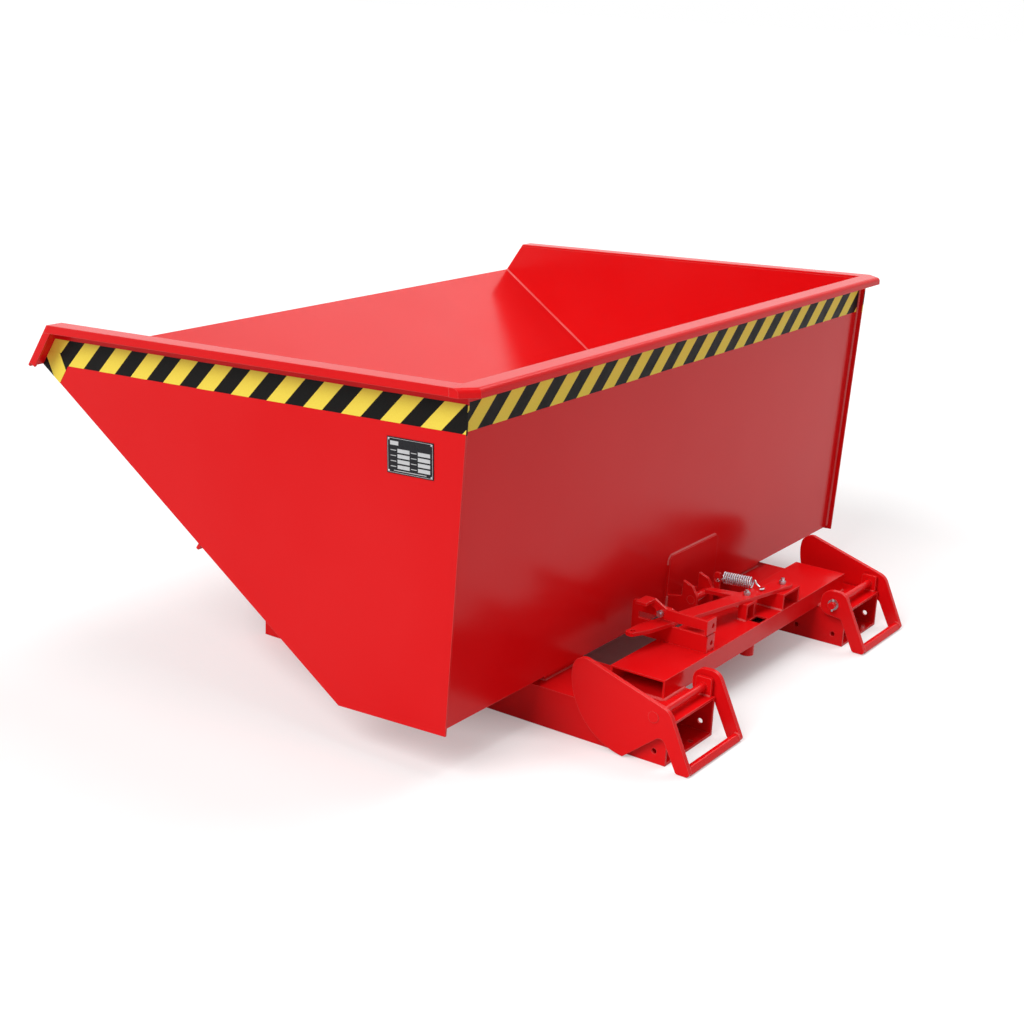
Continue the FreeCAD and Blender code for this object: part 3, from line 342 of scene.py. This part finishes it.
def hazard_tape():
    """Tape under the rim on the sides and the rear wall, with a strip down each panel's front edge."""
    lean, slope = math.radians(REAR_LEAN), math.radians(SLOPE_ANGLE)
    low_y, low_z = LIP.y - PANEL_OFFSET * math.sin(slope), LIP.z - PANEL_OFFSET * math.cos(slope)
    bottom, top = TAPE_LOW_SIDE, TAPE_LOW_SIDE + TAPE_WIDTH

    def front(height, offset):
        """A point at a height, some way behind the slanting front edge."""
        return Vector((low_y + (height - low_z) * math.tan(slope) + offset / math.cos(slope), height))

    def foot(offset):
        """The point where a line behind the front edge meets the panel's lower edge."""
        return Vector((low_y + offset * math.cos(slope), low_z - offset * math.sin(slope)))

    def edge(height):
        """A point at a height on the panel's rear edge."""
        return Vector((PANEL_REAR + height * math.tan(lean), height))

    band = [front(bottom, TAPE_INSET), edge(bottom), edge(top), front(top, TAPE_INSET)]
    lapped = bottom + STRIP_LAP
    strip = [foot(TAPE_INSET), foot(STRIP_WIDTH), front(lapped, STRIP_WIDTH), front(lapped, TAPE_INSET)]
    low, high = (z / math.cos(lean) for z in (TAPE_LOW_REAR, TAPE_LOW_REAR + TAPE_WIDTH))
    inner = TUB_HALF - SHEET
    rear = Vector((0, 1, 0))
    for side, sign in (("left", 1), ("right", -1)):
        mesh = bmesh.new()
        outward = Vector((sign, 0, 0))
        panel = TUB @ Matrix.Translation((sign * TUB_HALF, 0, 0))
        striped(mesh, band, sign, TAPE_START - sign * bottom, panel, outward)
        over = TUB @ Matrix.Translation((sign * (TUB_HALF + TAPE_THICK), 0, 0))
        first = STRIP_START + STRIP_SLANT * sign * STRIP_LEVEL
        striped(mesh, strip, -STRIP_SLANT * sign, first, over, outward)
        corners = ((inner, low), (inner, high), (TUB_HALF, high), (TUB_HALF, low))
        turned = [Vector((sign * x, z)) for x, z in corners]
        panel_edge = WALL @ Matrix.Translation((0, PANEL_REAR * math.cos(lean), 0))
        striped(mesh, turned, -1, inner + low + TAPE_PITCH / 2, panel_edge, rear)
        tape_piece(side, mesh)
    mesh = bmesh.new()
    reach = inner - TAPE_REAR_GAP
    band = [Vector((-reach, low)), Vector((reach, low)), Vector((reach, high)), Vector((-reach, high))]
    striped(mesh, band, -1, reach + low + TAPE_PITCH / 2, WALL, rear)
    tape_piece("rear", mesh)


class Beads:
    """Weld beads gathered into one mesh per body."""

    SIDES = 8
    STEP = 0.0022
    END_TAPER = 0.55
    RIPPLE = 0.14
    RIPPLE_TURN = 2.1
    SCATTER = 0.06

    def __init__(self, body):
        self.body = body
        self.mesh = bmesh.new()

    def run(self, corners, radius, place=Matrix.Identity(4)):
        """A rippled bead along straight runs between corners."""
        corners = [place @ Vector(corner) for corner in corners]
        for start, end in zip(corners, corners[1:]):
            self.stretch(start, end, radius)

    def stretch(self, start, end, radius):
        """One straight run: rings that swell and shrink, closed at both ends."""
        along = (end - start).normalized()
        side = along.orthogonal().normalized()
        other = along.cross(side)
        count = max(3, int((end - start).length / self.STEP))
        angles = [2 * math.pi * k / self.SIDES for k in range(self.SIDES)]
        rings = []
        for i in range(count + 1):
            taper = self.END_TAPER if i in (0, count) else 1.0
            scatter = random.uniform(-self.SCATTER, self.SCATTER)
            swell = radius * taper * (1 + self.RIPPLE * math.sin(i * self.RIPPLE_TURN) + scatter)
            centre = start.lerp(end, i / count)
            rings.append([self.mesh.verts.new(centre + (side * math.cos(a) + other * math.sin(a)) * swell)
                          for a in angles])
        for before, after in zip(rings, rings[1:]):
            for k in range(self.SIDES):
                m = (k + 1) % self.SIDES
                self.mesh.faces.new((before[k], before[m], after[m], after[k]))
        self.mesh.faces.new(rings[0][::-1])
        self.mesh.faces.new(rings[-1])

    def stitches(self, ends, count, length):
        """Short beads spaced evenly between two points of the tub."""
        start, end = (TUB @ Vector(point) for point in ends)
        along = (end - start).normalized()
        for i in range(count):
            middle = start.lerp(end, (i + 0.5) / count)
            self.stretch(middle - along * length / 2, middle + along * length / 2, FINE_BEAD)

    def foot(self, node, level, open_sides="", radius=FINE_BEAD):
        """Beads round the foot of a node that stands on a level face; open sides, such as 'Y', have none."""
        low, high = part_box(node)
        edges = {"y": ((low.x, low.y), (high.x, low.y)), "Y": ((low.x, high.y), (high.x, high.y)),
                 "x": ((low.x, low.y), (low.x, high.y)), "X": ((high.x, low.y), (high.x, high.y))}
        for side, (start, end) in edges.items():
            if side not in open_sides:
                self.stretch(Vector((*start, level)), Vector((*end, level)), radius)

    def finish(self):
        """Makes the beads one piece."""
        smooth(self.mesh)
        piece(f"welds_{self.body}", self.mesh, self.body, (WELD,))


def tub_welds():
    """Seams inside the tub, round the catch and under the slope."""
    beads = Beads("tub")
    lean = math.tan(math.radians(REAR_LEAN))
    sine, cosine = math.sin(math.radians(SLOPE_ANGLE)), math.cos(math.radians(SLOPE_ANGLE))
    inner = TUB_HALF - SHEET - BEAD_LIFT
    heel = (-SHEET - BEAD_LIFT, SHEET + BEAD_LIFT)

    def under(x, down):
        """A point on the slope's underside, some way down from the lip."""
        return (x, LIP.y + down * cosine - SHEET * sine, LIP.z - down * sine - SHEET * cosine)

    for x in (inner, -inner):
        beads.run([(x, *heel), (x, -FLOOR_LENGTH, SHEET + BEAD_LIFT), (x, LIP.y, LIP.z)], BEAD, TUB)
        beads.run([(x, *heel), (x, -SHEET - BEAD_LIFT + WALL_SEAM_TOP * lean, WALL_SEAM_TOP)], BEAD, TUB)
        beads.run([(x, BEAD_LIFT, WALL_SEAM_LOW), (x, BEAD_LIFT + WALL_SEAM_TOP * lean, WALL_SEAM_TOP)],
                  FINE_BEAD, TUB)
        beads.stitches([under(x, down) for down in SLOPE_SEAM], count=9, length=0.045)
    beads.run([(-inner, *heel), (inner, *heel)], BEAD, TUB)
    low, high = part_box("catch_doubler")
    end, shoulder = DOUBLER_TOP - DOUBLER_SEAM_SIDE, DOUBLER_TOP - DOUBLER_ROUND
    beads.run([(low.x, 0, end), (low.x, 0, shoulder), (low.x + DOUBLER_ROUND, 0, DOUBLER_TOP),
               (high.x - DOUBLER_ROUND, 0, DOUBLER_TOP), (high.x, 0, shoulder), (high.x, 0, end)],
              FINE_BEAD, WALL)
    for side in ("left", "right"):
        low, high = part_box(f"catch_cheek_{side}")
        for x in (low.x, high.x):
            beads.run([(x, DOUBLER_FACE, z) for z in CHEEK_SEAM], FINE_BEAD, WALL)
        low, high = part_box(f"slope_rib_{side}")
        rib = (LIP.y + FLOOR_LENGTH + RIB_RUN) / -cosine
        for down in (rib, rib + RIB_WIDTH):
            beads.stitches([under(x, down) for x in (low.x, high.x)], count=4, length=0.04)
    beads.stitches([under(x, LIP_BAR) for x in (-inner, inner)], count=10, length=0.05)
    beads.finish()


def base_welds():
    """Seams between the fork tubes, the cross tubes and all that stands on them."""
    beads = Beads("base")
    cross_low, cross_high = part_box("rear_cross_tube")
    front_low, front_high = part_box("front_cross_tube")
    for side in ("left", "right"):
        fork_low, fork_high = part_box(f"fork_tube_{side}")
        top = fork_high.z
        x0, x1 = max(fork_low.x, cross_low.x), min(fork_high.x, cross_high.x)
        for y in (cross_low.y, cross_high.y):
            beads.run([(x0, y, top), (x1, y, top)], HEAVY_BEAD)
        end = cross_high.x if side == "left" else cross_low.x
        beads.run([(end, cross_low.y, top), (end, cross_high.y, top)], HEAVY_BEAD)
        inner = fork_low.x if side == "left" else fork_high.x
        for y in (front_low.y, front_high.y):
            beads.run([(inner, y, front_low.z), (inner, y, front_high.z)], BEAD)
        beads.foot(f"hinge_bracket_{side}", top, radius=HEAVY_BEAD)
        beads.foot(f"tub_rest_{side}", top)
        low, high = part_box(f"lock_lugs_{side}")
        for x in (low.x + LUG_THICK, high.x - LUG_THICK):
            beads.run([(x, low.y, top), (x, high.y, top)], FINE_BEAD)
    deck = cross_high.z
    beads.foot("lever_pivot_bracket", deck, "Y")
    beads.foot("lever_post", deck, "Y")
    low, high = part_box("lever_guide")
    for x in (low.x, low.x + GUIDE_THICK):
        beads.run([(x, cross_low.y, deck), (x, high.y, deck)], GUIDE_BEAD)
    low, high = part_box("spring_lug")
    for x in (low.x, high.x):
        beads.run([(x, cross_low.y + BEAD_LIFT, deck), (x, high.y, deck)], FINE_BEAD)
    beads.finish()


def lock_welds(side):
    """Seams where the stirrup bar meets its two plates: along its top and down its slanting rear face."""
    beads = Beads(f"lock_{side}")
    low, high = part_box(f"lock_bar_{side}")
    for x in (low.x, high.x):
        beads.run([(x, low.y + BAR_TOP_START, high.z), (x, low.y + BAR_TOP_END, high.z),
                   (x, high.y - BAR_FROM_REAR, low.z + BAR_FROM_FLOOR)], BAR_BEAD)
    beads.finish()


def plate_print():
    """Blank fields and a thin border on the name plate, and a rivet in each corner."""
    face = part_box("name_plate")[1].x
    place = TUB @ Matrix.Translation((face, PLATE_Y, PLATE_Z))
    mesh = bmesh.new()

    def field(y, z, width, height):
        """A light field round a point of the plate; y runs to the right as the plate is read."""
        thick, lift = 0.0003, 0.0001
        block = bmesh.ops.create_cube(mesh, size=1)["verts"]
        bmesh.ops.scale(mesh, vec=(thick, width, height), verts=block)
        bmesh.ops.translate(mesh, vec=(lift, y, z), verts=block)

    width, height, line, rule = 0.096, 0.060, 0.0006, 0.0012
    for sign in (1, -1):
        field(0, sign * height / 2, width, line)
        field(sign * width / 2, 0, line, height)
    field(-0.034, 0.0215, width=0.018, height=0.007)
    first_row, row_pitch, rule_offset = 0.009, 0.0095, 0.022
    for row in range(4):
        level = first_row - row * row_pitch
        for column in (-0.014, 0.030):
            field(column, level, width=0.026, height=0.0066)
            field(column - rule_offset, level, width=0.012, height=rule)
    field(0, -0.0265, width=0.07, height=rule)
    mesh.transform(place)
    piece("plate_print", mesh, "tub", (FIELD,))
    rivets = bmesh.new()
    radius, flatness, lift = 0.0021, 0.5, 0.0002
    for y in (-0.046, 0.046):
        for z in (-0.028, 0.028):
            dome = bmesh.ops.create_uvsphere(rivets, u_segments=16, v_segments=8, radius=radius)["verts"]
            bmesh.ops.scale(rivets, vec=(flatness, 1, 1), verts=dome)
            bmesh.ops.translate(rivets, vec=(lift, y, z), verts=dome)
    rivets.transform(place)
    smooth(rivets)
    piece("plate_rivets", rivets, "tub", (ZINC,))


def spring_wire():
    """The return spring's form, copied from its part and shaded smoothly; the part itself is hidden."""
    mesh = bmesh.new()
    mesh.from_mesh(nodes["return_spring"].data)
    bmesh.ops.remove_doubles(mesh, verts=mesh.verts, dist=SAME_POINT)
    smooth(mesh)
    wire = shown("spring_wire", mesh, (STEEL,))
    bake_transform(wire)
    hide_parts("return_spring")


# Studio

FLOOR_SIZE = 60
FLOOR_DROP = 0.0006
FLOOR_TONES = ((0.62, 0.62, 0.62), (0.64, 0.64, 0.64))
GLOW = 0.4
GLOW_START = 0.35
GLOW_END = 0.65
SURROUND_LIGHT = 0.27
WHITE = (1, 1, 1, 1)


def light(name, source, strength, softness):
    """A soft distant lamp that shines from a direction."""
    lamp = bpy.data.lights.new(name, "SUN")
    lamp.energy = strength
    lamp.angle = math.radians(softness)
    obj = bpy.data.objects.new(name, lamp)
    obj.rotation_euler = (-Vector(source)).to_track_quat("-Z", "Y").to_euler()
    bpy.context.scene.collection.objects.link(obj)


def backdrop_rays(tree):
    """One for the rays that see the backdrop itself, directly, in a shiny face or through a clear one."""
    path = add(tree, "LightPath").outputs
    seen = path["Is Camera Ray"]
    for ray in ("Is Glossy Ray", "Is Transmission Ray"):
        seen = add(tree, "Math", {0: seen, 1: path[ray]}, operation="MAXIMUM").outputs[0]
    return seen


def pale_floor():
    """A pale floor that keeps its shadow under the skip and glows white farther out."""
    material, tree, shader, place = blank("pale_floor")
    tree.links.new(mix(tree, noise(tree, place, scale=4.0), *FLOOR_TONES), shader.inputs["Base Color"])
    shader.inputs["Roughness"].default_value = 0.9
    shader.inputs["Specular IOR Level"].default_value = 0.0
    shader.inputs["Emission Color"].default_value = WHITE
    distance = add(tree, "VectorMath", {0: place}, operation="LENGTH").outputs["Value"]
    away = spread(tree, distance, 0.0, GLOW, GLOW_START, GLOW_END)
    white = add(tree, "Math", {0: away, 1: backdrop_rays(tree)}, operation="MULTIPLY").outputs[0]
    tree.links.new(white, shader.inputs["Emission Strength"])
    mesh = bmesh.new()
    bmesh.ops.create_grid(mesh, x_segments=1, y_segments=1, size=FLOOR_SIZE)
    floor = shown("floor", mesh, (material,))
    floor.location.z = -FLOOR_DROP


def surround():
    """A world that looks white and lights the skip dimly."""
    world = bpy.data.worlds.new("surround")
    world.use_nodes = True
    tree = world.node_tree
    ground = tree.nodes["Background"]
    strength = spread(tree, backdrop_rays(tree), SURROUND_LIGHT, 1.0, start=0.0, end=1.0)
    tree.links.new(strength, ground.inputs["Strength"])
    ground.inputs["Color"].default_value = WHITE
    bpy.context.scene.world = world


def studio():
    """The floor, the surround and soft lamps."""
    pale_floor()
    surround()
    light("key", (0.70, -0.13, 0.70), strength=2.2, softness=35)
    light("back", (-0.62, 0.10, 0.78), strength=1.1, softness=40)
    light("top", (0.0, 0.08, 1.0), strength=0.5, softness=25)


def camera():
    """The view of the photograph."""
    data = bpy.data.cameras.new("camera")
    data.lens = LENS_MM
    data.sensor_width = SENSOR_MM
    obj = bpy.data.objects.new("camera", data)
    obj.location = EYE
    look = (AIM - EYE).to_track_quat("-Z", "Y")
    obj.rotation_euler = (look @ Quaternion((0, 0, 1), math.radians(ROLL))).to_euler()
    bpy.context.scene.collection.objects.link(obj)
    bpy.context.scene.camera = obj


hazard_tape()
tub_welds()
base_welds()
for lock_side in ("left", "right"):
    lock_welds(lock_side)
plate_print()
spring_wire()
studio()
camera()
bpy.context.scene.view_settings.view_transform = "Standard"
